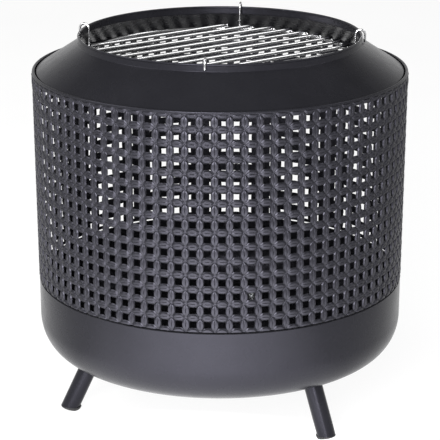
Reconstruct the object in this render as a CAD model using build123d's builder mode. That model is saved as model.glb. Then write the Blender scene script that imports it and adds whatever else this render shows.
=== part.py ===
from build123d import *
import math
import os

# Fire pit with a hanging grate. Millimetres, +Z up, the floor at z = 0 and the drum's axis on Z.
# The fire box is a pressed bowl, a perforated drum and a conical top. It stands on three leaning
# tube legs, and a wire grate hangs in the mouth by four hooks and lifts straight out.

# ---- Sheet metal -------------------------------------------------------------------------------
SHEET = 1.2

# Perforated drum, slightly wider at the top
DRUM_FOOT_RADIUS = 220.9
DRUM_TOP_RADIUS = 221.9
DRUM_BOTTOM = 168.5
HEM_BOTTOM = 150.0
HOLE_COLUMNS = 85
HOLE_ROWS = 15
HOLE_PITCH = 16.7
HOLE_WIDTH = 8.2
FIRST_ROW_HEIGHT = 175.3
FIRST_COLUMN_ANGLE = -73.4

# Curled seam that closes the drum over the cone's flange
SEAM_OUTER_RADIUS = 222.8
SEAM_INNER_RADIUS = 219.4
SEAM_TOP = 421.0
SEAM_BOTTOM = 417.0
SEAM_ROUNDING = 1.5

# Conical top and the upright collar around its mouth
COLLAR_RADIUS = 167.7
COLLAR_TOP = 461.0
COLLAR_FOOT = 452.0
CONE_EDGE_RADIUS = 218.0
CONE_EDGE_HEIGHT = 419.4
GROOVE_FLOOR = 416.8
SHEET_BEND = 1.4

# Bowl
BOWL_RADIUS = 220.8
BOWL_TOP = 165.0
BOWL_BOTTOM = 75.7
BOWL_CORNER_WIDTH = 33.4
BOWL_CORNER_HEIGHT = 43.1

# ---- Legs --------------------------------------------------------------------------------------
# Each leg has its own angle around the drum and splays its own way to its foot.
LEG_ANGLES = (90.0, 210.5, 329.1)
LEG_FOOT_RADII = (189.4, 192.4, 186.4)
LEG_TOP_RADIUS = 155.5
TUBE_RADIUS = 10.9
TUBE_WALL = 1.5
FIT_GAP = 0.15

# End cap: a level pad on its inner side, then a sole that slopes up outwards
CAP_SEAT_HEIGHT = 4.8
CAP_SEAT_TILT = 6.0
CAP_SOLE_TILT = 15.4
CAP_PAD = 8.0
CAP_LIP = 0.9
CAP_EDGE = 0.8
CAP_SPIGOT = 12.0
CAP_BLANK = 12.0

# Bolt, washer and threaded plug that hold each leg to the bowl
PLUG_HEIGHT = 8.0
BOLT_RADIUS = 3.0
BOLT_LENGTH = 14.0
BOLT_HEAD_RADIUS = 5.77
BOLT_HEAD_HEIGHT = 4.0
BOLT_HEAD_CHAMFER = 0.5
WASHER_RADIUS = 9.0
WASHER_THICKNESS = 1.6
THREAD_GAP = 0.05
BOLT_HOLE_GAP = 0.3

# ---- Grate -------------------------------------------------------------------------------------
BAR_COUNT = 11
BAR_SPACING = 23.7
BAR_RADIUS = 2.25
BAR_DIRECTION = 53.8
BAR_END_RADIUS = 157.4
BAR_END_ROUNDING = 0.7
RING_RADIUS = 156.8
RING_WIRE = 2.25
RING_HEIGHT = 434.6
HOOK_ANGLES = (14.0, 97.0, 185.0, 280.4)
HOOK_WIRE = 1.4
HOOK_ARCH_RADIUS = 5.3
HOOK_ARCH_HEIGHTS = (460.6, 460.6, 460.6, 461.8)
HOOK_TIPS = (451.2, 451.2, 451.2, 454.4)
HOOK_FOOT = 432.8

FLOOR_INSIDE = BOWL_BOTTOM + SHEET

os.makedirs("parts", exist_ok=True)


def save(builder, name):
    """Label a finished piece and write it to its own file."""
    builder.part.label = name
    export_step(builder.part, f"parts/{name}.step")


def radial_point(radius, angle, height):
    """The point at a radius and an angle in degrees around Z, at a height."""
    turn = math.radians(angle)
    return Vector(radius * math.cos(turn), radius * math.sin(turn), height)


# ---- Bowl: a pressed pan with an elliptical corner, bored for the leg bolts -----------------------
corner_radius = BOWL_RADIUS - BOWL_CORNER_WIDTH
corner_height = BOWL_BOTTOM + BOWL_CORNER_HEIGHT
with BuildPart() as bowl:
    with BuildSketch(Plane.XZ):
        with BuildLine():
            Line((0, BOWL_BOTTOM), (corner_radius, BOWL_BOTTOM))
            EllipticalCenterArc(
                (corner_radius, corner_height),
                BOWL_CORNER_WIDTH,
                BOWL_CORNER_HEIGHT,
                start_angle=270,
                arc_size=90,
            )
            Polyline(
                (BOWL_RADIUS, corner_height),
                (BOWL_RADIUS, BOWL_TOP),
                (BOWL_RADIUS - SHEET, BOWL_TOP),
                (BOWL_RADIUS - SHEET, corner_height),
            )
            EllipticalCenterArc(
                (corner_radius, corner_height),
                BOWL_CORNER_WIDTH - SHEET,
                BOWL_CORNER_HEIGHT - SHEET,
                start_angle=270,
                arc_size=90,
            )
            Polyline((corner_radius, FLOOR_INSIDE), (0, FLOOR_INSIDE), (0, BOWL_BOTTOM))
        make_face()
    revolve(axis=Axis.Z)
    with BuildSketch(Plane.XY.offset(BOWL_BOTTOM)):
        with Locations(*[radial_point(LEG_TOP_RADIUS, angle, 0) for angle in LEG_ANGLES]):
            Circle(BOLT_RADIUS + BOLT_HOLE_GAP)
    extrude(amount=SHEET, mode=Mode.SUBTRACT)
save(bowl, "fire_bowl")

# ---- Drum: a perforated sheet, set in at the foot to stand inside the bowl -------------------------
hem_radius = BOWL_RADIUS - SHEET - FIT_GAP
with BuildPart() as drum:
    with BuildSketch(Plane.XZ):
        with BuildLine():
            Polyline(
                (hem_radius, HEM_BOTTOM),
                (hem_radius, BOWL_TOP + FIT_GAP),
                (DRUM_FOOT_RADIUS, DRUM_BOTTOM),
                (DRUM_TOP_RADIUS, SEAM_TOP - SEAM_ROUNDING),
                (DRUM_TOP_RADIUS - SHEET, SEAM_TOP - SEAM_ROUNDING),
                (DRUM_FOOT_RADIUS - SHEET, DRUM_BOTTOM),
                (hem_radius - SHEET, BOWL_TOP + FIT_GAP),
                (hem_radius - SHEET, HEM_BOTTOM),
                close=True,
            )
        make_face()
    revolve(axis=Axis.Z)
    with BuildSketch(Plane.XZ) as seam_section:
        with Locations(((SEAM_INNER_RADIUS + SEAM_OUTER_RADIUS) / 2, (SEAM_TOP + SEAM_BOTTOM) / 2)):
            RectangleRounded(
                SEAM_OUTER_RADIUS - SEAM_INNER_RADIUS, SEAM_TOP - SEAM_BOTTOM, SEAM_ROUNDING
            )
    revolve(axis=Axis.Z)
    rows = [Pos(0, 0, FIRST_ROW_HEIGHT + HOLE_PITCH * row) for row in range(HOLE_ROWS)]
    with Locations(*rows):
        with PolarLocations(DRUM_FOOT_RADIUS, HOLE_COLUMNS, start_angle=FIRST_COLUMN_ANGLE):
            Box(4 * SHEET, HOLE_WIDTH, HOLE_WIDTH, mode=Mode.SUBTRACT)
save(drum, "mesh_drum")

# ---- Top: an upright collar, the cone, and a flange held under the curled seam -------------------
flange_radius = DRUM_TOP_RADIUS - SHEET - 2 * FIT_GAP
with BuildPart() as top:
    with BuildSketch(Plane.XZ):
        with BuildLine():
            FilletPolyline(
                (COLLAR_RADIUS, COLLAR_TOP),
                (COLLAR_RADIUS, COLLAR_FOOT),
                (CONE_EDGE_RADIUS, CONE_EDGE_HEIGHT),
                (CONE_EDGE_RADIUS, GROOVE_FLOOR),
                (flange_radius, GROOVE_FLOOR),
                radius=SHEET_BEND,
            )
            offset(amount=SHEET, side=Side.RIGHT)
        make_face()
    revolve(axis=Axis.Z)
save(top, "top_cone")

# ---- Legs: leaning tubes on end caps ---------------------------------------------------------------
def tilted_plane(radius, angle, height, tilt=0.0):
    """A plane through a point, its x direction pointing out and rising by tilt degrees."""
    rise = math.radians(tilt)
    return Plane(
        origin=radial_point(radius, angle, height),
        x_dir=radial_point(math.cos(rise), angle, math.sin(rise)),
        z_dir=radial_point(-math.sin(rise), angle, math.cos(rise)),
    )


def tube_section(radius, slope):
    """The section of a round bar on a plane whose normal is slope radians off the bar's axis."""
    return Ellipse(radius / math.cos(slope), radius)


bore = TUBE_RADIUS - TUBE_WALL - FIT_GAP
for number, (angle, foot_radius) in enumerate(zip(LEG_ANGLES, LEG_FOOT_RADII), start=1):
    lean = math.atan2(foot_radius - LEG_TOP_RADIUS, BOWL_BOTTOM)
    climb = radial_point(-math.sin(lean), angle, math.cos(lean))
    seat_slope = lean - math.radians(CAP_SEAT_TILT)
    seat_radius = foot_radius - CAP_SEAT_HEIGHT * math.tan(lean)
    seat = tilted_plane(seat_radius, angle, CAP_SEAT_HEIGHT, CAP_SEAT_TILT)

    with BuildPart() as leg:
        with BuildSketch(seat):
            tube_section(TUBE_RADIUS, seat_slope)
            Ellipse(
                (TUBE_RADIUS - TUBE_WALL) / math.cos(seat_slope),
                TUBE_RADIUS - TUBE_WALL,
                mode=Mode.SUBTRACT,
            )
        extrude(amount=2 * BOWL_BOTTOM, dir=climb)
        split(bisect_by=Plane.XY.offset(BOWL_BOTTOM), keep=Keep.BOTTOM)
    save(leg, f"leg_tube_{number}")

    pad_edge = foot_radius - TUBE_RADIUS / math.cos(lean) - 2 * CAP_LIP + CAP_PAD
    sole = tilted_plane(pad_edge, angle, 0, CAP_SOLE_TILT)
    with BuildPart() as cap:
        with BuildSketch(seat):
            with Locations((-CAP_LIP, 0)):
                Ellipse(TUBE_RADIUS / math.cos(seat_slope) + CAP_LIP, TUBE_RADIUS + CAP_LIP / 2)
        extrude(amount=-CAP_BLANK, dir=climb)
        split(bisect_by=sole)
        chamfer(cap.faces().sort_by(Axis.Z)[0].edges(), CAP_EDGE)
        with BuildSketch(seat):
            tube_section(bore, seat_slope)
        extrude(amount=CAP_SPIGOT, dir=climb)
        split(bisect_by=Plane.XY)
    save(cap, f"foot_cap_{number}")

    bolt_foot = radial_point(LEG_TOP_RADIUS, angle, 0)
    with BuildPart() as plug:
        plug_radius = LEG_TOP_RADIUS + PLUG_HEIGHT * math.tan(lean)
        with BuildSketch(tilted_plane(plug_radius, angle, BOWL_BOTTOM - PLUG_HEIGHT)):
            tube_section(bore, lean)
        extrude(amount=PLUG_HEIGHT / math.cos(lean), dir=climb)
        with BuildSketch(Plane(bolt_foot).offset(BOWL_BOTTOM - PLUG_HEIGHT)):
            Circle(BOLT_RADIUS + THREAD_GAP)
        extrude(amount=PLUG_HEIGHT, mode=Mode.SUBTRACT)
    save(plug, f"leg_plug_{number}")

    with BuildPart() as washer:
        with BuildSketch(Plane(bolt_foot).offset(FLOOR_INSIDE)):
            Circle(WASHER_RADIUS)
            Circle(BOLT_RADIUS + BOLT_HOLE_GAP, mode=Mode.SUBTRACT)
        extrude(amount=WASHER_THICKNESS)
    save(washer, f"leg_washer_{number}")

    head_seat = FLOOR_INSIDE + WASHER_THICKNESS
    with BuildPart() as bolt:
        with BuildSketch(Plane(bolt_foot).offset(head_seat)):
            RegularPolygon(BOLT_HEAD_RADIUS, 6)
        extrude(amount=BOLT_HEAD_HEIGHT)
        chamfer(bolt.faces().sort_by(Axis.Z)[-1].edges(), BOLT_HEAD_CHAMFER)
        with BuildSketch(Plane(bolt_foot).offset(head_seat - BOLT_LENGTH)):
            Circle(BOLT_RADIUS)
        extrude(amount=BOLT_LENGTH)
    save(bolt, f"leg_bolt_{number}")

# ---- Grate: a ring, parallel bars welded on top of it, and four hooks ------------------------------
with BuildPart() as ring:
    with BuildSketch(Plane.XZ):
        with Locations((RING_RADIUS, RING_HEIGHT)):
            Circle(RING_WIRE)
    revolve(axis=Axis.Z)
save(ring, "grate_ring")

bar_height = RING_HEIGHT + RING_WIRE + BAR_RADIUS
along = radial_point(1, BAR_DIRECTION, 0)
across = radial_point(1, BAR_DIRECTION + 90, 0)
for number in range(1, BAR_COUNT + 1):
    offset_from_centre = BAR_SPACING * (number - (BAR_COUNT + 1) / 2)
    half_length = math.sqrt(BAR_END_RADIUS**2 - offset_from_centre**2)
    start = across * offset_from_centre - along * half_length + Vector(0, 0, bar_height)
    with BuildPart() as bar:
        with BuildSketch(Plane(origin=start, z_dir=along)):
            Circle(BAR_RADIUS)
        extrude(amount=2 * half_length)
        fillet(bar.edges().filter_by(GeomType.CIRCLE), BAR_END_ROUNDING)
    save(bar, f"grate_bar_{number:02d}")

# Each hook stands on the outside of the ring, arches over the collar and ends above the cone's
# shoulder. The fourth is bent a little higher than the rest and cut shorter.
inner_leg_radius = RING_RADIUS + RING_WIRE + HOOK_WIRE
arch_centre = inner_leg_radius + HOOK_ARCH_RADIUS
outer_leg_radius = arch_centre + HOOK_ARCH_RADIUS
hook_sizes = zip(HOOK_ANGLES, HOOK_ARCH_HEIGHTS, HOOK_TIPS)
for number, (angle, arch_height, tip) in enumerate(hook_sizes, start=1):
    hook_plane = Plane(
        origin=(0, 0, 0), x_dir=radial_point(1, angle, 0), z_dir=radial_point(1, angle - 90, 0)
    )
    with BuildPart() as hook:
        with BuildLine(hook_plane) as hook_path:
            Line((inner_leg_radius, HOOK_FOOT), (inner_leg_radius, arch_height))
            CenterArc((arch_centre, arch_height), HOOK_ARCH_RADIUS, 180, -180)
            Line((outer_leg_radius, arch_height), (outer_leg_radius, tip))
        with BuildSketch(Plane(origin=hook_path.line @ 0, z_dir=(0, 0, 1))):
            Circle(HOOK_WIRE)
        sweep(path=hook_path.line)
    save(hook, f"grate_hook_{number}")
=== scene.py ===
"""The looks of a fire pit with a hanging grate: fine meshes, finishes, floor, light and camera."""

import math

import bmesh
import bpy
import numpy as np
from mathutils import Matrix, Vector


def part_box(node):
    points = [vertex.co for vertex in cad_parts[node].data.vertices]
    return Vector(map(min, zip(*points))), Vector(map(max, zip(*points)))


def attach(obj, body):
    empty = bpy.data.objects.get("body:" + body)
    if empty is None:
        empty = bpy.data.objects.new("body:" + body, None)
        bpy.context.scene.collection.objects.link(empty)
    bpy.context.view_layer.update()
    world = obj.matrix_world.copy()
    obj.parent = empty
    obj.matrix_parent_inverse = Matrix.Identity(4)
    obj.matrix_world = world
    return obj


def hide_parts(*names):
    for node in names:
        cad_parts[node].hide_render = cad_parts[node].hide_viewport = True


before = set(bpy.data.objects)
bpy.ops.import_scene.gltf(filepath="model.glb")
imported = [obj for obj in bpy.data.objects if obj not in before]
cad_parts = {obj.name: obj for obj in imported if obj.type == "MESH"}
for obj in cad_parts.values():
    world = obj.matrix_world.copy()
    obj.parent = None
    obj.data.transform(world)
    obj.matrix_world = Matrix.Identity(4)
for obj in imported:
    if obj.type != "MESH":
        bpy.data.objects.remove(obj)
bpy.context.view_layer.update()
scene = bpy.context.scene

# Everything is in metres, with the drum's axis on Z and the floor at z = 0.

# ---- Sizes that the frame's boxes don't give ----------------------------------------------------
SHEET = 0.0012
FIT_GAP = 0.00015
HOLE_COLUMNS = 85
HOLE_ROWS = 15
ROW_PITCH = 0.0167
HOLE_WIDTH = 0.0082
FIRST_ROW_HEIGHT = 0.1753
FIRST_COLUMN_ANGLE = math.radians(-73.4)
SEAM_INNER_RADIUS = 0.2194
SEAM_BOTTOM = 0.4170
SEAM_ROUNDING = 0.0016
BOWL_TOP = 0.1650
COLLAR_RADIUS = 0.1677
COLLAR_FOOT = 0.4520
CONE_EDGE_RADIUS = 0.2180
CONE_EDGE_HEIGHT = 0.4194
SHEET_BEND = 0.0014
COLLAR_BEND = 0.0005
RIM_RADIUS = 0.0014
BOWL_CORNER_WIDTH = 0.0334
BOWL_CORNER_HEIGHT = 0.0431
LEG_ANGLES = [math.radians(angle) for angle in (90, 210.5, 329.1)]
LEG_FOOT_RADII = (0.1894, 0.1924, 0.1864)
LEG_TOP_RADIUS = 0.1555
TUBE_RADIUS = 0.0109
TUBE_WALL = 0.0015
CAP_SEAT_HEIGHT = 0.0048
CAP_SEAT_RISE = math.tan(math.radians(6.0))
CAP_SOLE_RISE = math.tan(math.radians(15.4))
CAP_PAD = 0.0080
CAP_LIP = 0.0009
CAP_ROUNDING = 0.0015
CAP_SPIGOT = 0.0120
HOOK_ANGLES = [math.radians(angle) for angle in (14, 97, 185, 280.4)]
HOOK_ARCH_RADIUS = 0.0053
HOOK_WIRE = 0.0014
HOOK_TIPS = (0.4512, 0.4512, 0.4512, 0.4544)
BAR_COUNT = 11
BAR_DIRECTION = math.radians(53.8)
BAR_END_RADIUS = 0.1574

# ---- Sizes read from the frame ------------------------------------------------------------------
bowl_low, bowl_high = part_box("fire_bowl")
drum_low, drum_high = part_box("mesh_drum")
top_low, top_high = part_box("top_cone")
ring_low, ring_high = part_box("grate_ring")
bar_low, bar_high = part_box("grate_bar_06")
bowl_radius = bowl_high.x
seam_radius = drum_high.x
ring_wire = (ring_high.z - ring_low.z) / 2
ring_radius = ring_high.x - ring_wire
ring_height = (ring_high.z + ring_low.z) / 2
bar_radius = (bar_high.z - bar_low.z) / 2
bar_height = (bar_high.z + bar_low.z) / 2

# ---- How finely the meshes are divided ----------------------------------------------------------
ROUND_STEPS = 240
WIRE_STEPS = 20
EDGE_STEPS = 4
PAN_STEPS = 12
CORNER_STEPS = 28
WALL_STEPS = 6
SEAM_BEND_STEPS = 10
TOP_BEND_STEPS = 8
LEG_STEPS = 72
TUBE_LENGTH_STEPS = 12
CAP_ROUND_STEPS = 6
RING_STEPS = 200
BAR_STEPS = 16
ARCH_STEPS = 16
WELD_STEPS = 14
CREASE = math.radians(38)
# Points closer than the first value are welded together, and edges under the second collapse
WELD_REACH = 1e-6
TINY_EDGE = 1e-7


# ---- Mesh helpers -------------------------------------------------------------------------------
def make_piece(name, vertices, faces, finish, body, nodes):
    """A welded, smooth-shaded mesh that rides on a body and stands for the CAD nodes it is given."""
    mesh = bpy.data.meshes.new(name)
    mesh.from_pydata(vertices, [], faces)
    welded = bmesh.new()
    welded.from_mesh(mesh)
    bmesh.ops.remove_doubles(welded, verts=welded.verts, dist=WELD_REACH)
    bmesh.ops.dissolve_degenerate(welded, edges=welded.edges, dist=TINY_EDGE)
    bmesh.ops.recalc_face_normals(welded, faces=welded.faces)
    welded.to_mesh(mesh)
    welded.free()
    mesh.shade_smooth()
    mesh.set_sharp_from_angle(angle=CREASE)
    mesh.materials.append(finishes[finish])
    piece = bpy.data.objects.new(name, mesh)
    scene.collection.objects.link(piece)
    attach(piece, body)
    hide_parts(*nodes)
    return piece


def join_parts(parts):
    """Vertices and faces of several meshes as one list of each."""
    vertices = []
    faces = []
    for part_vertices, part_faces in parts:
        start = len(vertices)
        vertices.extend(tuple(vertex) for vertex in part_vertices)
        faces.extend(tuple(start + index for index in face) for face in part_faces)
    return vertices, faces


def loft(rings, closed=False):
    """The surface through rings of equal size. It is capped at both ends unless it closes on itself."""
    count = len(rings)
    size = len(rings[0])
    vertices = [tuple(point) for ring in rings for point in ring]
    faces = []
    for row in range(count if closed else count - 1):
        here = row * size
        there = (row + 1) % count * size
        for column in range(size):
            beside = (column + 1) % size
            faces.append((here + column, here + beside, there + beside, there + column))
    if not closed:
        faces.append(tuple(range(size)))
        faces.append(tuple(range((count - 1) * size, count * size)))
    return vertices, faces


def lathe(outline):
    """The closed outline of (radius, height) points turned about Z."""
    rings = []
    for step in range(ROUND_STEPS):
        turn = math.tau * step / ROUND_STEPS
        rings.append([(r * math.cos(turn), r * math.sin(turn), z) for r, z in outline])
    return loft(rings, closed=True)


def rounded_path(corners, steps):
    """A path of (x, y) points through corners given as (x, y, radius), each rounded by an arc."""
    points = [Vector(corners[0][:2])]
    for before, corner, after in zip(corners, corners[1:], corners[2:]):
        place = Vector(corner[:2])
        back = (Vector(before[:2]) - place).normalized()
        ahead = (Vector(after[:2]) - place).normalized()
        half = back.angle(ahead) / 2
        centre = place + (back + ahead).normalized() * corner[2] / math.sin(half)
        first = place + back * corner[2] / math.tan(half) - centre
        last = place + ahead * corner[2] / math.tan(half) - centre
        sweep = math.pi - 2 * half
        for step in range(steps + 1):
            share = step / steps
            turned = first * math.sin((1 - share) * sweep) + last * math.sin(share * sweep)
            points.append(centre + turned / math.sin(sweep))
    points.append(Vector(corners[-1][:2]))
    return points


def hold_straights(path, reach):
    """The path with a point near both ends of each long stretch, so that it is shaded flat."""
    points = [path[0]]
    for start, end in zip(path, path[1:]):
        stretch = end - start
        if stretch.length > 4 * reach:
            points.append(start + stretch.normalized() * reach)
            points.append(end - stretch.normalized() * reach)
        points.append(end)
    return points


def sheet_outline(path, thickness):
    """The closed outline of a sheet on the right of a path, with round edges at both ends.

    A negative thickness puts the sheet on the left.
    """
    tangents = []
    for index in range(len(path)):
        ahead = path[min(index + 1, len(path) - 1)]
        behind = path[max(index - 1, 0)]
        tangents.append((ahead - behind).normalized())
    rights = [Vector((tangent.y, -tangent.x)) for tangent in tangents]
    near = list(path)
    far = [point + right * thickness for point, right in zip(path, rights)]
    outline = near + round_edge(near[-1], far[-1], tangents[-1])
    return outline + far[::-1] + round_edge(far[0], near[0], -tangents[0])


# How far a sheet's edge bulges, as a share of half the thickness
EDGE_BULGE = 0.5


def round_edge(start, end, outward):
    """The points of a half ellipse from one face of a sheet to the other, a quarter as deep as it."""
    middle = (start + end) / 2
    arm = (start - end) / 2
    points = []
    for step in range(1, EDGE_STEPS):
        turn = math.pi * step / EDGE_STEPS
        points.append(middle + arm * math.cos(turn) + outward * arm.length * EDGE_BULGE * math.sin(turn))
    return points


# A wire's cut end narrows in two steps, and this share of its rounding lies in the outer one
END_SHARE = 0.3


def wire(path, radius, rounding):
    """A round wire along a path of points, with softened cut ends."""
    points = [Vector(point) for point in path]
    tangents = []
    for index in range(len(points)):
        ahead = points[min(index + 1, len(points) - 1)]
        behind = points[max(index - 1, 0)]
        tangents.append((ahead - behind).normalized())
    side = tangents[0].orthogonal().normalized()
    spots = [
        (points[0], tangents[0], radius - rounding),
        (points[0] + tangents[0] * rounding * END_SHARE, tangents[0], radius - rounding * END_SHARE),
        (points[0] + tangents[0] * rounding, tangents[0], radius),
    ]
    spots += [(point, tangent, radius) for point, tangent in zip(points[1:-1], tangents[1:-1])]
    spots += [
        (points[-1] - tangents[-1] * rounding, tangents[-1], radius),
        (points[-1] - tangents[-1] * rounding * END_SHARE, tangents[-1], radius - rounding * END_SHARE),
        (points[-1], tangents[-1], radius - rounding),
    ]
    rings = []
    for point, tangent, reach in spots:
        side = (side - tangent * side.dot(tangent)).normalized()
        other = tangent.cross(side)
        ring = []
        for step in range(WIRE_STEPS):
            turn = math.tau * step / WIRE_STEPS
            ring.append(point + (side * math.cos(turn) + other * math.sin(turn)) * reach)
        rings.append(ring)
    return loft(rings)


# A bead's ripple as a share of its reach, its waves, and how they shift from place to place
RIPPLE = 0.06
RIPPLE_WAVES = 9
RIPPLE_SHIFT = (40, 60)
# The least square of a bead's reach at its tips, which keeps them from closing to a point
BLUNT_TIP = 0.002


def weld_bead(centre, along, across, size):
    """A flattened bead of weld metal, of a half length, half width and half height."""
    length, width, height = size
    up = along.cross(across)
    rings = []
    for step in range(WELD_STEPS + 1):
        share = -1 + 2 * step / WELD_STEPS
        reach = math.sqrt(max(1 - share * share, BLUNT_TIP))
        phase = RIPPLE_WAVES * share + RIPPLE_SHIFT[0] * centre.x + RIPPLE_SHIFT[1] * centre.y
        ripple = 1 + RIPPLE * math.sin(phase)
        ring = []
        for spoke in range(WELD_STEPS):
            turn = math.tau * spoke / WELD_STEPS
            spread = across * width * math.cos(turn) + up * height * math.sin(turn)
            ring.append(centre + along * length * share + spread * reach * ripple)
        rings.append(ring)
    return loft(rings)


# ---- Finishes -----------------------------------------------------------------------------------
def start_material(name):
    """An empty node material with its shader, and the object coordinates its textures share."""
    material = bpy.data.materials.new(name + "_finish")
    material.use_nodes = True
    tree = material.node_tree
    shader = tree.nodes["Principled BSDF"]
    place = tree.nodes.new("ShaderNodeTexCoord")
    return material, tree, shader, place.outputs["Object"]


def add_noise(tree, place, scale, detail):
    """A noise texture over the piece. Its scale is in waves per metre."""
    noise = tree.nodes.new("ShaderNodeTexNoise")
    noise.inputs["Scale"].default_value = scale
    noise.inputs["Detail"].default_value = detail
    tree.links.new(place, noise.inputs["Vector"])
    return noise.outputs["Fac"]


def add_ramp(tree, factor, low, high, first=0.3, last=0.7):
    """A colour that runs from low to high as the factor rises from first to last."""
    ramp = tree.nodes.new("ShaderNodeValToRGB")
    ramp.color_ramp.elements[0].position = first
    ramp.color_ramp.elements[0].color = (*low, 1)
    ramp.color_ramp.elements[1].position = last
    ramp.color_ramp.elements[1].color = (*high, 1)
    tree.links.new(factor, ramp.inputs["Fac"])
    return ramp.outputs["Color"]


def add_range(tree, factor, low, high, first=0.3, last=0.7):
    """A number that runs from low to high as the factor rises from first to last."""
    span = tree.nodes.new("ShaderNodeMapRange")
    span.inputs["From Min"].default_value = first
    span.inputs["From Max"].default_value = last
    span.inputs["To Min"].default_value = low
    span.inputs["To Max"].default_value = high
    tree.links.new(factor, span.inputs["Value"])
    return span.outputs["Result"]


def add_math(tree, operation, first, second=0.0):
    """The result of a math operation on a socket and either another socket or a number."""
    node = tree.nodes.new("ShaderNodeMath")
    node.operation = operation
    tree.links.new(first, node.inputs[0])
    if isinstance(second, float):
        node.inputs[1].default_value = second
    else:
        tree.links.new(second, node.inputs[1])
    return node.outputs["Value"]


def add_bump(tree, height, depth, below=None):
    """A bump of a depth in metres, on top of another bump if there is one."""
    bump = tree.nodes.new("ShaderNodeBump")
    bump.inputs["Strength"].default_value = 1.0
    bump.inputs["Distance"].default_value = depth
    tree.links.new(height, bump.inputs["Height"])
    if below is not None:
        tree.links.new(below, bump.inputs["Normal"])
    return bump.outputs["Normal"]


# The coat's cool gleam, and the depths of its orange peel and of the fine dust on it
COAT_TINT = (0.82, 0.80, 1.0, 1.0)
PEEL_DEPTH = 0.00002
DUST_DEPTH = 0.000006


def powder_coat(name, low, high, satin_range, ior):
    """Satin black powder coat: a blue-black film with a fine orange peel and faint patches."""
    material, tree, shader, place = start_material(name)
    patches = add_noise(tree, place, scale=14, detail=4)
    tree.links.new(add_ramp(tree, patches, low, high), shader.inputs["Base Color"])
    satin = add_noise(tree, place, scale=60, detail=3)
    tree.links.new(add_range(tree, satin, *satin_range), shader.inputs["Roughness"])
    shader.inputs["IOR"].default_value = ior
    shader.inputs["Specular Tint"].default_value = COAT_TINT
    peel = add_noise(tree, place, scale=900, detail=2)
    dust = add_noise(tree, place, scale=4200, detail=1)
    bumps = add_bump(tree, dust, DUST_DEPTH, add_bump(tree, peel, PEEL_DEPTH))
    tree.links.new(bumps, shader.inputs["Normal"])
    return material


def moulded_plastic():
    """Black moulded plastic of the foot caps, with a fine spark-eroded grain."""
    material, tree, shader, place = start_material("black_plastic")
    patches = add_noise(tree, place, scale=40, detail=3)
    tone = add_ramp(tree, patches, low=(0.010, 0.010, 0.011), high=(0.018, 0.018, 0.019))
    tree.links.new(tone, shader.inputs["Base Color"])
    tree.links.new(add_range(tree, patches, low=0.5, high=0.62), shader.inputs["Roughness"])
    grain = add_noise(tree, place, scale=2600, detail=2)
    tree.links.new(add_bump(tree, grain, depth=0.00002), shader.inputs["Normal"])
    return material


def zinc_plate():
    """Bright zinc plate of the bolts, washers and plugs, with a cloudy tone."""
    material, tree, shader, place = start_material("zinc_steel")
    clouds = add_noise(tree, place, scale=220, detail=4)
    tone = add_ramp(tree, clouds, low=(0.50, 0.51, 0.52), high=(0.68, 0.69, 0.70))
    tree.links.new(tone, shader.inputs["Base Color"])
    shader.inputs["Metallic"].default_value = 1.0
    tree.links.new(add_range(tree, clouds, low=0.28, high=0.42), shader.inputs["Roughness"])
    grain = add_noise(tree, place, scale=3000, detail=2)
    tree.links.new(add_bump(tree, grain, depth=0.00001), shader.inputs["Normal"])
    return material


def chrome_plate():
    """Bright chrome plate of the grate's wires, with a fine grain and hazy spots."""
    material, tree, shader, place = start_material("chrome_wire")
    haze = add_noise(tree, place, scale=90, detail=4)
    tone = add_ramp(tree, haze, low=(0.62, 0.62, 0.63), high=(0.74, 0.74, 0.75))
    tree.links.new(tone, shader.inputs["Base Color"])
    shader.inputs["Metallic"].default_value = 1.0
    tree.links.new(add_range(tree, haze, low=0.12, high=0.22), shader.inputs["Roughness"])
    grain = add_noise(tree, place, scale=1500, detail=3)
    tree.links.new(add_bump(tree, grain, depth=0.000008), shader.inputs["Normal"])
    return material


# The drum's sheet gets a lit copy of the coat. Its colour is a little lighter, as painted light that
# stands in for the brighter light on the leaves, and its gloss is duller than on the smooth pressings.
drum_coat_lit_copy = powder_coat(
    "drum_coat_lit_copy",
    low=(0.009, 0.009, 0.011),
    high=(0.012, 0.012, 0.0145),
    satin_range=(0.32, 0.38),
    ior=1.40,
)
finishes = {
    "black_powder_coat": powder_coat(
        "black_powder_coat",
        low=(0.0085, 0.0085, 0.0103),
        high=(0.0112, 0.0112, 0.0134),
        satin_range=(0.24, 0.30),
        ior=1.29,
    ),
    "black_plastic": moulded_plastic(),
    "zinc_steel": zinc_plate(),
    "chrome_wire": chrome_plate(),
}


# ---- Bowl ---------------------------------------------------------------------------------------
def make_bowl():
    """The pressed pan: a flat floor, an elliptical corner and an upright wall with a round edge."""
    corner_radius = bowl_radius - BOWL_CORNER_WIDTH
    corner_height = bowl_low.z + BOWL_CORNER_HEIGHT
    path = [Vector((corner_radius * step / PAN_STEPS, bowl_low.z)) for step in range(PAN_STEPS)]
    for step in range(CORNER_STEPS + 1):
        turn = math.pi / 2 * step / CORNER_STEPS
        path.append(Vector((
            corner_radius + BOWL_CORNER_WIDTH * math.sin(turn),
            corner_height - BOWL_CORNER_HEIGHT * math.cos(turn),
        )))
    wall = BOWL_TOP - SHEET / 2 * EDGE_BULGE - corner_height
    for step in range(1, WALL_STEPS + 1):
        path.append(Vector((bowl_radius, corner_height + wall * step / WALL_STEPS)))
    vertices, faces = lathe(sheet_outline(path, -SHEET))
    make_piece("bowl_pan", vertices, faces, "black_powder_coat", "fire_pit", ["fire_bowl"])


# ---- Drum ---------------------------------------------------------------------------------------
PANEL_COUNT = 5
RELIEF = 0.0018
GROOVE_DEPTH = 0.0008
HOLE_BULGE = 0.0003
STEP_GAP = 0.0002
STEP_RISE = 0.0010
HEM_RADIUS = bowl_radius - SHEET - FIT_GAP
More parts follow.
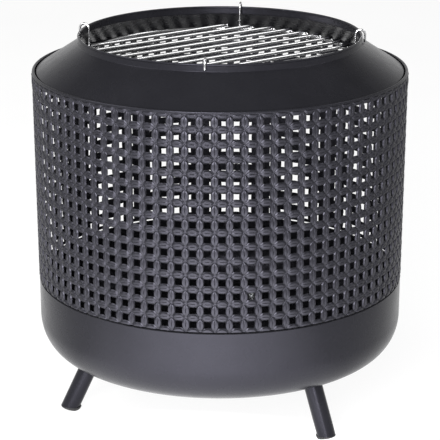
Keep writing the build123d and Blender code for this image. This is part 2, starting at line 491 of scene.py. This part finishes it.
# The drum's outside, from its step into the bowl up to the flare under the seam
DRUM_FOOT = BOWL_TOP + STEP_GAP
DRUM_HEIGHTS = (DRUM_FOOT, DRUM_FOOT + STEP_RISE, 0.398, 0.407)
DRUM_RADII = (HEM_RADIUS, 0.2204, 0.2219, 0.2225)
# A leaf's half length and half width and its slot's length, as shares of the pitch
UPRIGHT_LEAF = (0.44, 0.245, 0.26)
LEVEL_LEAF = (0.43, 0.21, 0.32)


class Leaf:
    """The mesh of one embossed leaf between two holes, with its centre at (0, 0).

    Its patch is a long hexagon: two hole edges, and two points where four patches meet. It holds
    across and along in shares of the pitch, and how far each point stands out. The sides it keeps
    are -1 and 1 for a whole leaf, or one of them for a half.
    """

    # Across the leaf, as shares of its half width, and how far it stands out there
    DOME = ((0, 0.82), (0.12, 0.95), (0.45, 1.0), (0.90, 0.88), (1, 0.5))
    SLOT_DEPTH = 0.2
    # The slope left beside a leaf at a hole's edge, and down to the groove beyond it
    MARGINS = (0.014, 0.026)
    # The slope at each end of the slot, as a share of the pitch
    SLOT_SLOPE = 0.03
    # Shares of its patch's width: the least that a leaf fills, and what the margins always leave it
    LEAST_WIDTH = 0.02
    LEAST_ROOM = 0.4

    def __init__(self, length, width, slot_length, sides=(-1, 1)):
        edge = HOLE_WIDTH / ROW_PITCH / 2
        slot_end = slot_length / 2
        # Rows along half a leaf: from the groove to its tip, then the hole's edge and the slot
        tips = [0.5, (0.5 + length) / 2, length, 0.9 * length]
        ends = tips + [edge, slot_end + self.SLOT_SLOPE, slot_end, 0.4 * slot_end]
        self.edge = edge
        self.rows = []
        for along in [-end for end in ends] + ends[::-1]:
            limit = min(0.5 - edge, 0.5 - abs(along))
            if abs(along) < edge:
                limit += HOLE_BULGE / ROW_PITCH * (1 - (along / edge) ** 2)
            bend = (length ** 2 + width ** 2) / (2 * width)
            lens = math.sqrt(max(bend ** 2 - along ** 2, 0)) - bend + width
            margin = self.MARGINS[abs(along) > edge]
            widest = max(limit - margin, self.LEAST_ROOM * limit)
            lens = min(max(lens, self.LEAST_WIDTH * limit), widest)
            fade = math.sqrt(max(1 - (along / length) ** 2, 0))
            half = []
            for share, rise in self.DOME:
                if share == 0 and abs(along) <= slot_end:
                    rise -= self.SLOT_DEPTH
                half.append((lens * share, along, rise * fade))
            half.append((limit, along, 0))
            row = []
            if -1 in sides:
                row += [(-across, *rest) for across, *rest in half[:0:-1]]
            row += [half[0]]
            if 1 in sides:
                row += half[1:]
            self.rows.append(row)


def leaf_patch(leaf, upright, angle, height):
    """The points of one leaf wrapped onto the drum: its outer grid, then its inner two edges."""
    points = np.array(leaf.rows)
    if not upright:
        points = points[:, :, [1, 0, 2]]
    turns = angle + points[:, :, 0] * math.tau / HOLE_COLUMNS
    heights = height + points[:, :, 1] * ROW_PITCH
    base = np.interp(heights, DRUM_HEIGHTS, DRUM_RADII)
    radii = base - GROOVE_DEPTH + points[:, :, 2] * RELIEF
    inside = base - SHEET
    shown = np.stack([radii * np.cos(turns), radii * np.sin(turns), heights], 2)
    hidden = np.stack([inside * np.cos(turns), inside * np.sin(turns), heights], 2)[:, [0, -1]]
    return np.concatenate([shown.reshape(-1, 3), hidden.reshape(-1, 3)])


def leaf_faces(leaf):
    """Faces of a leaf patch: its outer quads, its inner strip and the edges of the holes."""
    size = len(leaf.rows[0])
    count = len(leaf.rows)
    faces = []
    for row in range(count - 1):
        low = row * size
        inner = size * count + 2 * row
        for here in range(low, low + size - 1):
            faces.append((here, here + 1, here + size + 1, here + size))
        faces.append((inner, inner + 2, inner + 3, inner + 1))
        middle = (leaf.rows[row][0][1] + leaf.rows[row + 1][0][1]) / 2
        if abs(middle) < leaf.edge:
            faces.append((low, low + size, inner + 2, inner))
            faces.append((low + size - 1, low + 2 * size - 1, inner + 3, inner + 1))
    return faces


def make_drum():
    """The embossed sheet, in panels. Half leaves meet the bowl below and the seam above."""
    leaves = {
        "upright": Leaf(*UPRIGHT_LEAF),
        "level": Leaf(*LEVEL_LEAF),
        "foot": Leaf(*LEVEL_LEAF, sides=(1,)),
        "head": Leaf(*LEVEL_LEAF, sides=(-1,)),
    }
    patches = {kind: leaf_faces(leaf) for kind, leaf in leaves.items()}
    step_angle = math.tau / HOLE_COLUMNS
    columns = HOLE_COLUMNS // PANEL_COUNT
    for panel in range(PANEL_COUNT):
        blocks = []
        faces = []
        count = 0
        for column in range(panel * columns, (panel + 1) * columns):
            angle = FIRST_COLUMN_ANGLE + column * step_angle
            for row in range(HOLE_ROWS + 1):
                height = FIRST_ROW_HEIGHT + row * ROW_PITCH
                below = {0: "foot", HOLE_ROWS: "head"}.get(row, "level")
                spots = [(below, angle, height - ROW_PITCH / 2)]
                if row < HOLE_ROWS:
                    spots.append(("upright", angle + step_angle / 2, height))
                for kind, turn, middle in spots:
                    block = leaf_patch(leaves[kind], kind == "upright", turn, middle)
                    blocks.append(block)
                    faces.extend(tuple(count + index for index in face) for face in patches[kind])
                    count += len(block)
        sheet = make_piece(
            f"drum_panel_{panel + 1}",
            np.concatenate(blocks).tolist(),
            faces,
            "black_powder_coat",
            "fire_pit",
            ["mesh_drum"],
        )
        # The panels wear the coat's lit copy, whose lighter colour is painted light.
        sheet.data.materials[0] = drum_coat_lit_copy


# ---- Seam, cone and collar ----------------------------------------------------------------------
def make_seam():
    """The curled bead that closes the drum's top."""
    reach = SEAM_ROUNDING
    corners = [
        (SEAM_INNER_RADIUS, SEAM_BOTTOM, reach),
        (seam_radius, SEAM_BOTTOM, reach),
        (seam_radius, drum_high.z, reach),
        (SEAM_INNER_RADIUS, drum_high.z, reach),
    ]
    path = rounded_path([corners[-1]] + corners + [corners[0]], SEAM_BEND_STEPS)[1:-1]
    vertices, faces = lathe(path)
    make_piece("drum_seam", vertices, faces, "black_powder_coat", "fire_pit", ["mesh_drum"])


# A point this far above the hem's foot keeps its shading flat
HEM_HOLD = 0.006


def make_hem():
    """The plain foot of the drum that stands inside the bowl."""
    path = [
        Vector((HEM_RADIUS, drum_low.z)),
        Vector((HEM_RADIUS, drum_low.z + HEM_HOLD)),
        Vector((HEM_RADIUS, BOWL_TOP)),
    ]
    vertices, faces = lathe(sheet_outline(path, -SHEET))
    make_piece("drum_hem", vertices, faces, "black_powder_coat", "fire_pit", ["mesh_drum"])


# Points this close to a bend keep the straight stretches beside it flat
HOLD_REACH = 0.0006


def make_top():
    """The collar with its rolled rim, the cone and the gutter that tucks under the seam."""
    corners = [
        (COLLAR_RADIUS, top_high.z - RIM_RADIUS, 0),
        (COLLAR_RADIUS, COLLAR_FOOT, COLLAR_BEND),
        (CONE_EDGE_RADIUS, CONE_EDGE_HEIGHT, SHEET_BEND),
        (CONE_EDGE_RADIUS, top_low.z + SHEET, SHEET_BEND),
        (top_high.x, top_low.z + SHEET, 0),
    ]
    path = hold_straights(rounded_path(corners, TOP_BEND_STEPS), HOLD_REACH)
    rim = []
    for step in range(WIRE_STEPS):
        turn = math.tau * step / WIRE_STEPS
        rim.append((
            COLLAR_RADIUS - SHEET / 2 + RIM_RADIUS * math.cos(turn),
            top_high.z - RIM_RADIUS + RIM_RADIUS * math.sin(turn),
        ))
    vertices, faces = join_parts([lathe(sheet_outline(path, SHEET)), lathe(rim)])
    make_piece("cone_top", vertices, faces, "black_powder_coat", "fire_pit", ["top_cone"])


# ---- Legs ---------------------------------------------------------------------------------------
CAP_EDGE = 0.0004
SPIGOT_CHAMFER = 0.001
# Rings across the cap's sole, as shares of its reach
SOLE_SHARES = (0, 0.25, 0.5, 0.7)


class Leg:
    """Rings around one leg's axis, which leans out from the bowl's bolt to the foot."""

    def __init__(self, angle, foot_radius):
        self.angle = angle
        self.foot_radius = foot_radius
        self.lean = (foot_radius - LEG_TOP_RADIUS) / bowl_low.z
        self.stretch = math.sqrt(1 + self.lean ** 2)

    def plane(self, height, rise):
        """The height, by outward offset from the axis, of a plane that crosses it at a height."""
        return lambda offset: height + rise * offset / (1 + rise * self.lean)

    def ring(self, reach_out, reach_side, height_at, shift=0.0):
        """A closed ring of points, at the heights that a function gives by outward offset."""
        points = []
        for step in range(LEG_STEPS):
            turn = math.tau * step / LEG_STEPS
            offset = shift + reach_out * math.cos(turn)
            height = height_at(offset)
            outward = self.foot_radius - height * self.lean + offset
            sideways = reach_side * math.sin(turn)
            points.append((
                outward * math.cos(self.angle) - sideways * math.sin(self.angle),
                outward * math.sin(self.angle) + sideways * math.cos(self.angle),
                height,
            ))
        return points

    def round_ring(self, radius, height_at):
        """A ring on a round surface of a radius about the axis."""
        return self.ring(radius * self.stretch, radius, height_at)


def make_tube(leg, number):
    """A leaning tube, cut level under the bowl and nearly level on its cap."""
    seat = leg.plane(CAP_SEAT_HEIGHT, CAP_SEAT_RISE)
    inner = TUBE_RADIUS - TUBE_WALL
    upward = range(TUBE_LENGTH_STEPS + 1)
    rings = []
    for radius, order in ((TUBE_RADIUS, upward), (inner, reversed(upward))):
        for step in order:
            share = step / TUBE_LENGTH_STEPS
            rings.append(leg.round_ring(
                radius, lambda offset: seat(offset) * (1 - share) + bowl_low.z * share
            ))
    vertices, faces = loft(rings, closed=True)
    make_piece(
        f"leg_{number}", vertices, faces, "black_powder_coat", "fire_pit", [f"leg_tube_{number}"]
    )


def make_cap(leg, number):
    """A moulded cap with a level pad, a sole that slopes up outwards, and a spigot in the tube."""
    seat = leg.plane(CAP_SEAT_HEIGHT, CAP_SEAT_RISE)
    pad_edge = CAP_PAD - TUBE_RADIUS * leg.stretch - 2 * CAP_LIP
    sole_height = -CAP_SOLE_RISE * pad_edge / (1 + CAP_SOLE_RISE * leg.lean)
    sole = leg.plane(sole_height, CAP_SOLE_RISE)
    reach_out = TUBE_RADIUS * leg.stretch + CAP_LIP
    reach_side = TUBE_RADIUS + CAP_LIP / 2
    rings = []
    for share in SOLE_SHARES:
        rings.append(leg.ring(
            reach_out * share, reach_side * share, lambda offset: max(sole(offset), 0), -CAP_LIP
        ))
    for step in range(CAP_ROUND_STEPS + 1):
        turn = math.pi / 2 * step / CAP_ROUND_STEPS
        inset = CAP_ROUNDING * (1 - math.sin(turn))
        lift = CAP_ROUNDING * (1 - math.cos(turn))
        rings.append(leg.ring(
            reach_out - inset,
            reach_side - inset,
            lambda offset: max(sole(offset), 0) + lift,
            -CAP_LIP,
        ))
    for inset, drop in ((0, CAP_EDGE), (CAP_EDGE, 0)):
        rings.append(leg.ring(
            reach_out - inset, reach_side - inset, lambda offset: seat(offset) - drop, -CAP_LIP
        ))
    bore = TUBE_RADIUS - TUBE_WALL - FIT_GAP
    rings.append(leg.round_ring(bore, seat))
    rings.append(leg.round_ring(bore, lambda offset: seat(offset) + CAP_SPIGOT - SPIGOT_CHAMFER))
    rings.append(leg.round_ring(bore - SPIGOT_CHAMFER, lambda offset: seat(offset) + CAP_SPIGOT))
    vertices, faces = loft(rings)
    make_piece(
        f"cap_{number}", vertices, faces, "black_plastic", "fire_pit", [f"foot_cap_{number}"]
    )


def make_legs():
    """Every leg's tube and the cap on its foot."""
    for number, (angle, foot_radius) in enumerate(zip(LEG_ANGLES, LEG_FOOT_RADII), start=1):
        leg = Leg(angle, foot_radius)
        make_tube(leg, number)
        make_cap(leg, number)


# ---- Grate --------------------------------------------------------------------------------------
BAR_END_ROUNDING = 0.0007
HOOK_END_ROUNDING = 0.0004
# The half length, half width and half height of the beads of weld
BAR_WELD = (0.0030, 0.0014, 0.0011)
HOOK_WELD = (0.0021, 0.0017, 0.0008)


def make_ring():
    """The grate's ring, a closed round hoop."""
    rings = []
    for step in range(RING_STEPS):
        turn = math.tau * step / RING_STEPS
        ring = []
        for spoke in range(WIRE_STEPS):
            tilt = math.tau * spoke / WIRE_STEPS
            radius = ring_radius + ring_wire * math.cos(tilt)
            ring.append((
                radius * math.cos(turn),
                radius * math.sin(turn),
                ring_height + ring_wire * math.sin(tilt),
            ))
        rings.append(ring)
    vertices, faces = loft(rings, closed=True)
    make_piece("ring_wire", vertices, faces, "chrome_wire", "grate", ["grate_ring"])


def make_bars():
    """The parallel bars, each with a bead of weld where it crosses the ring."""
    along = Vector((math.cos(BAR_DIRECTION), math.sin(BAR_DIRECTION), 0))
    across = Vector((-along.y, along.x, 0))
    first_low, first_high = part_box("grate_bar_01")
    last_low, last_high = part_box(f"grate_bar_{BAR_COUNT:02d}")
    span = (last_low + last_high - first_low - first_high).dot(across) / 2
    spacing = span / (BAR_COUNT - 1)
    for number in range(1, BAR_COUNT + 1):
        offset = spacing * (number - (BAR_COUNT + 1) / 2)
        half = math.sqrt(BAR_END_RADIUS ** 2 - offset ** 2)
        middle = across * offset + Vector((0, 0, bar_height))
        path = [middle + along * half * (2 * step / BAR_STEPS - 1) for step in range(BAR_STEPS + 1)]
        parts = [wire(path, bar_radius, BAR_END_ROUNDING)]
        crossing = math.sqrt(ring_radius ** 2 - offset ** 2)
        for side in (-1, 1):
            joint = across * offset + along * crossing * side
            joint.z = (bar_height + ring_height) / 2
            tangent = Vector((-joint.y, joint.x, 0)).normalized()
            outward = Vector((joint.x, joint.y, 0)).normalized()
            parts.append(weld_bead(joint, tangent, outward, BAR_WELD))
        vertices, faces = join_parts(parts)
        make_piece(
            f"bar_{number:02d}", vertices, faces, "chrome_wire", "grate", [f"grate_bar_{number:02d}"]
        )


def make_hooks():
    """The hooks: each stands on the ring's outside and arches over the collar."""
    leg_radius = ring_radius + ring_wire + HOOK_WIRE
    for number, (angle, tip_height) in enumerate(zip(HOOK_ANGLES, HOOK_TIPS), start=1):
        outward = Vector((math.cos(angle), math.sin(angle), 0))
        up = Vector((0, 0, 1))
        low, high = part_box(f"grate_hook_{number}")
        arch_height = high.z - HOOK_ARCH_RADIUS - HOOK_WIRE
        path = [outward * leg_radius + up * low.z]
        path.append(outward * leg_radius + up * (low.z + (arch_height - low.z) / 2))
        centre = outward * (leg_radius + HOOK_ARCH_RADIUS) + up * arch_height
        for step in range(ARCH_STEPS + 1):
            turn = math.pi * (1 - step / ARCH_STEPS)
            path.append(
                centre + outward * HOOK_ARCH_RADIUS * math.cos(turn)
                + up * HOOK_ARCH_RADIUS * math.sin(turn)
            )
        tip = outward * (leg_radius + 2 * HOOK_ARCH_RADIUS)
        path.append(tip + up * (arch_height + tip_height) / 2)
        path.append(tip + up * tip_height)
        parts = [wire(path, HOOK_WIRE, HOOK_END_ROUNDING)]
        joint = outward * (ring_radius + ring_wire) + up * ring_height
        parts.append(weld_bead(joint, up, Vector((-outward.y, outward.x, 0)), HOOK_WELD))
        vertices, faces = join_parts(parts)
        make_piece(
            f"hook_{number}", vertices, faces, "chrome_wire", "grate", [f"grate_hook_{number}"]
        )


# ---- Bolts, washers and plugs kept from the frame -----------------------------------------------
FASTENER_EDGE = 0.0002


def finish_kept_nodes():
    """Give the frame's own bolts, washers and plugs their finish and soften their edges."""
    for number in range(1, len(LEG_ANGLES) + 1):
        for kind in ("bolt", "washer", "plug"):
            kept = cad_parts[f"leg_{kind}_{number}"]
            kept.data.materials.clear()
            kept.data.materials.append(finishes["zinc_steel"])
            bevel = kept.modifiers.new("soft_edges", "BEVEL")
            bevel.width = FASTENER_EDGE
            bevel.segments = 2
            bevel.limit_method = "ANGLE"


# ---- Floor, light and camera --------------------------------------------------------------------
# The camera's level distance from the axis and its height, the height it looks at, and its lens in mm
CAMERA_AZIMUTH = math.radians(16)
CAMERA_DISTANCE = 2.094
CAMERA_HEIGHT = 0.894
CAMERA_AIM_HEIGHT = 0.2289
SENSOR_WIDTH = 36
LENS_LENGTH = 147.2
FLOOR_SIZE = 14
FLOOR_TONES = ((0.14, 0.14, 0.14), (0.16, 0.16, 0.16))
FLOOR_ROUGHNESS = 0.9
# The floor's glow is painted light: it glows brightest in a strip that widens to the back, and fades
# softly to its sides and front.
# Each pair is where a fade starts and ends.
STRIP_GLOW = 0.9
STRIP_SIDE = (0.29, 0.80)
STRIP_SPREAD = -0.14
STRIP_FRONT = (-1.4, -0.6)
FLOOR_GLOW = 0.38
# A painted pool of light: the floor glows brightly in front of the pit and lights the bowl from below
POOL_CENTRE = (-0.10, -0.80, 0.0)
POOL_GLOW = 7.2
POOL_RADII = (0.12, 0.75)
POOL_END = (-1.15, -0.95)
HORIZON_GLOW = 0.9
ZENITH_GLOW = 0.12
# The surround fades from white to dim between these sines of the elevation
HORIZON_BAND = (0.12, 0.55)
LIGHT_AIM = Vector((0, 0, 0.28))
# Each box's name, azimuth and elevation in degrees, distance and size in metres, and power in watts
SOFTBOXES = (
    ("key", 4, 20, 2.3, 1.4, 112),
    ("wing", 111, 46, 2.3, 0.8, 7),
    ("rim", -65, 45, 2.3, 1.2, 24),
)


def make_floor():
    """A wide pale floor that glows enough to leave only a faint shadow at the feet, with painted light
    in its glow: a brighter strip and a bright pool in front of the pit.
    """
    bpy.ops.mesh.primitive_plane_add(size=FLOOR_SIZE, rotation=(0, 0, CAMERA_AZIMUTH))
    floor = bpy.context.object
    floor.name = "studio_floor"
    material, tree, shader, place = start_material("studio_floor")
    mottle = add_noise(tree, place, scale=3, detail=3)
    tone = add_ramp(tree, mottle, *FLOOR_TONES)
    tree.links.new(tone, shader.inputs["Base Color"])
    shader.inputs["Roughness"].default_value = FLOOR_ROUGHNESS
    shader.inputs["Specular IOR Level"].default_value = 0.0
    shader.inputs["Emission Color"].default_value = (1, 1, 1, 1)
    # Painted light on the floor: its glow is brightest in a strip along the camera's line and dimmer to
    # the sides.
    split = tree.nodes.new("ShaderNodeSeparateXYZ")
    tree.links.new(place, split.inputs["Vector"])
    spread = add_math(tree, "MULTIPLY", split.outputs["Y"], STRIP_SPREAD)
    aside = add_math(tree, "ADD", add_math(tree, "ABSOLUTE", split.outputs["X"]), spread)
    across = add_range(tree, aside, 1.0, 0.0, *STRIP_SIDE)
    ahead = add_range(tree, split.outputs["Y"], 0.0, 1.0, *STRIP_FRONT)
    strip = add_math(tree, "MULTIPLY", across, ahead)
    glow = add_range(tree, strip, FLOOR_GLOW, STRIP_GLOW, 0.0, 1.0)
    # The painted pool of light: extra glow around a point in front of the pit, cut off toward the
    # camera.
    distance = tree.nodes.new("ShaderNodeVectorMath")
    distance.operation = "DISTANCE"
    distance.inputs[1].default_value = POOL_CENTRE
    tree.links.new(place, distance.inputs[0])
    pool = add_range(tree, distance.outputs["Value"], POOL_GLOW, 0.0, *POOL_RADII)
    pool_end = add_range(tree, split.outputs["Y"], 0.0, 1.0, *POOL_END)
    total = add_math(tree, "ADD", glow, add_math(tree, "MULTIPLY", pool, pool_end))
    tree.links.new(total, shader.inputs["Emission Strength"])
    floor.data.materials.append(material)


def add_softbox(name, azimuth, elevation, distance, size, power):
    """A large square area light that faces the drum. Its azimuth is counted from the front."""
    turn = math.radians(azimuth)
    climb = math.radians(elevation)
    level = distance * math.cos(climb)
    place = LIGHT_AIM + Vector((
        level * math.sin(turn), -level * math.cos(turn), distance * math.sin(climb)
    ))
    lamp = bpy.data.lights.new(name, "AREA")
    lamp.shape = "SQUARE"
    lamp.size = size
    lamp.energy = power
    box = bpy.data.objects.new(name, lamp)
    box.location = place
    box.rotation_euler = (LIGHT_AIM - place).to_track_quat("-Z", "Y").to_euler()
    scene.collection.objects.link(box)


def light_studio():
    """A surround that is white at the horizon and dim overhead, and soft boxes around the pit."""
    world = bpy.data.worlds.new("studio")
    world.use_nodes = True
    tree = world.node_tree
    place = tree.nodes.new("ShaderNodeTexCoord")
    split = tree.nodes.new("ShaderNodeSeparateXYZ")
    tree.links.new(place.outputs["Generated"], split.inputs["Vector"])
    strength = add_range(tree, split.outputs["Z"], HORIZON_GLOW, ZENITH_GLOW, *HORIZON_BAND)
    background = tree.nodes["Background"]
    background.inputs["Color"].default_value = (1, 1, 1, 1)
    tree.links.new(strength, background.inputs["Strength"])
    scene.world = world
    for name, azimuth, elevation, distance, size, power in SOFTBOXES:
        add_softbox(name, azimuth, elevation, distance, size, power)


def make_camera():
    """The camera, looking down at the pit from the front."""
    place = Vector((
        CAMERA_DISTANCE * math.sin(CAMERA_AZIMUTH),
        -CAMERA_DISTANCE * math.cos(CAMERA_AZIMUTH),
        CAMERA_HEIGHT,
    ))
    aim = Vector((0, 0, CAMERA_AIM_HEIGHT))
    lens = bpy.data.cameras.new("camera")
    lens.sensor_width = SENSOR_WIDTH
    lens.lens = LENS_LENGTH
    camera = bpy.data.objects.new("camera", lens)
    camera.location = place
    camera.rotation_euler = (aim - place).to_track_quat("-Z", "Y").to_euler()
    scene.collection.objects.link(camera)
    scene.camera = camera


make_camera()
make_floor()
light_studio()
scene.view_settings.view_transform = "Standard"
make_bowl()
make_drum()
make_seam()
make_hem()
make_top()
make_legs()
make_ring()
make_bars()
make_hooks()
finish_kept_nodes()
